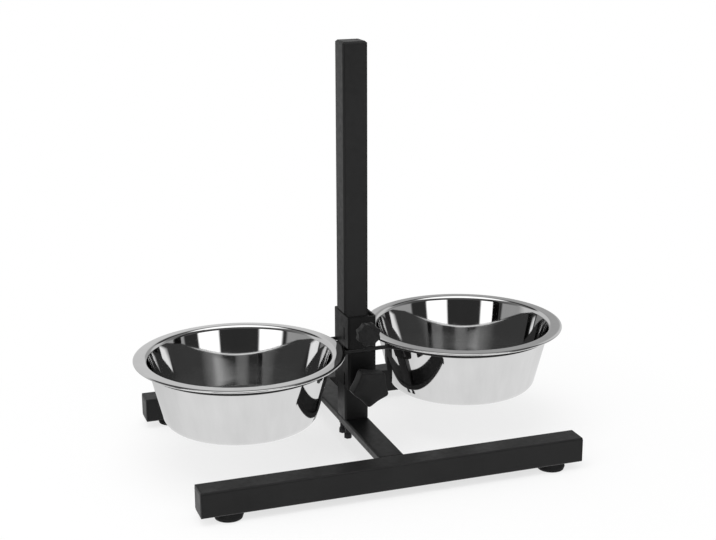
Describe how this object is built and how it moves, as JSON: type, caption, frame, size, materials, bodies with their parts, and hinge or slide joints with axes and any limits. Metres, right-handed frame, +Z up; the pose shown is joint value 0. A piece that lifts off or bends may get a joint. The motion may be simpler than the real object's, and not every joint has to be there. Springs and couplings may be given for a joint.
{
  "type": "dog feeder stand",
  "caption": "Free-standing pet feeder: bowls with rolled rims in a bent wire frame, held at any height on a square post by knob clamps, on an H-shaped tube base.",
  "frame": {"origin": "on the floor, in the middle under the post", "axes": "+X along the base bars to the right bowl, +Y from the knobs to the back, +Z up along the post"},
  "size_m": [0.5032, 0.309, 0.4633],
  "materials": {
    "black_coat": "satin black powder coat on steel",
    "black_plastic": "moulded black plastic with a fine grain",
    "foot_rubber": "dull black rubber",
    "bare_steel": "zinc-plated steel",
    "black_fastener": "blackened steel",
    "polished_steel": "polished stainless sheet, with fine turned marks inside"
  },
  "bodies": {
    "base": {"front_bar": "black_coat", "rear_bar": "black_coat", "crossbar": "black_coat", "front_left_end_cap": "black_plastic", "front_right_end_cap": "black_plastic", "rear_left_end_cap": "black_plastic", "rear_right_end_cap": "black_plastic", "front_left_foot": "foot_rubber", "front_right_foot": "foot_rubber", "rear_left_foot": "foot_rubber", "rear_right_foot": "foot_rubber", "post": "black_coat", "post_cap": "black_plastic", "post_foot_plate": "bare_steel", "post_studs": "bare_steel", "post_washers": "black_fastener", "post_cap_nuts": "black_fastener"},
    "lower_clamp": {"lower_sleeve": "black_coat", "lower_nut": "bare_steel"},
    "lower_press": {"lower_shoe": "black_coat"},
    "lower_grip": {"lower_stud": "bare_steel", "lower_knob": "black_plastic"},
    "wire_frame": {"left_ring": "black_coat", "right_ring": "black_coat"},
    "upper_clamp": {"upper_sleeve": "black_coat", "upper_nut": "bare_steel"},
    "upper_press": {"upper_shoe": "black_coat"},
    "upper_grip": {"upper_stud": "bare_steel", "upper_knob": "black_plastic"},
    "left_dish": {"left_bowl": "polished_steel"},
    "right_dish": {"right_bowl": "polished_steel"}
  },
  "joints": [
    {"name": "stack_height", "type": "slide", "parent": "base", "child": "lower_clamp", "axis": [0, 0, 1], "range_m": [-0.031, 0.24]},
    {"name": "frame_lift", "type": "slide", "parent": "lower_clamp", "child": "wire_frame", "axis": [0, 0, 1], "range_m": [0, 0.02]},
    {"name": "upper_clamp_lift", "type": "slide", "parent": "wire_frame", "child": "upper_clamp", "axis": [0, 0, 1], "range_m": [0, 0.03]},
    {"name": "lower_shoe_feed", "type": "slide", "parent": "lower_clamp", "child": "lower_press", "axis": [0, -1, 0], "range_m": [0, 0.0025]},
    {"name": "lower_knob_turn", "type": "hinge", "parent": "lower_press", "child": "lower_grip", "pos_m": [0, -0.034, 0.0905], "axis": [0, -1, 0], "range_deg": [0, 720]},
    {"name": "upper_shoe_feed", "type": "slide", "parent": "upper_clamp", "child": "upper_press", "axis": [0, -1, 0], "range_m": [0, 0.002]},
    {"name": "upper_knob_turn", "type": "hinge", "parent": "upper_press", "child": "upper_grip", "pos_m": [0, -0.034, 0.1496], "axis": [0, -1, 0], "range_deg": [0, 720]},
    {"name": "left_bowl_lift", "type": "slide", "parent": "wire_frame", "child": "left_dish", "axis": [0, 0, 1], "range_m": [0, 0.12]},
    {"name": "right_bowl_lift", "type": "slide", "parent": "wire_frame", "child": "right_dish", "axis": [0, 0, 1], "range_m": [0, 0.12]}
  ],
  "couplings": [
    {"joint": "lower_knob_turn", "follows": "lower_shoe_feed", "rad_per_m": 5026.5},
    {"joint": "upper_knob_turn", "follows": "upper_shoe_feed", "rad_per_m": 6283.2}
  ]
}
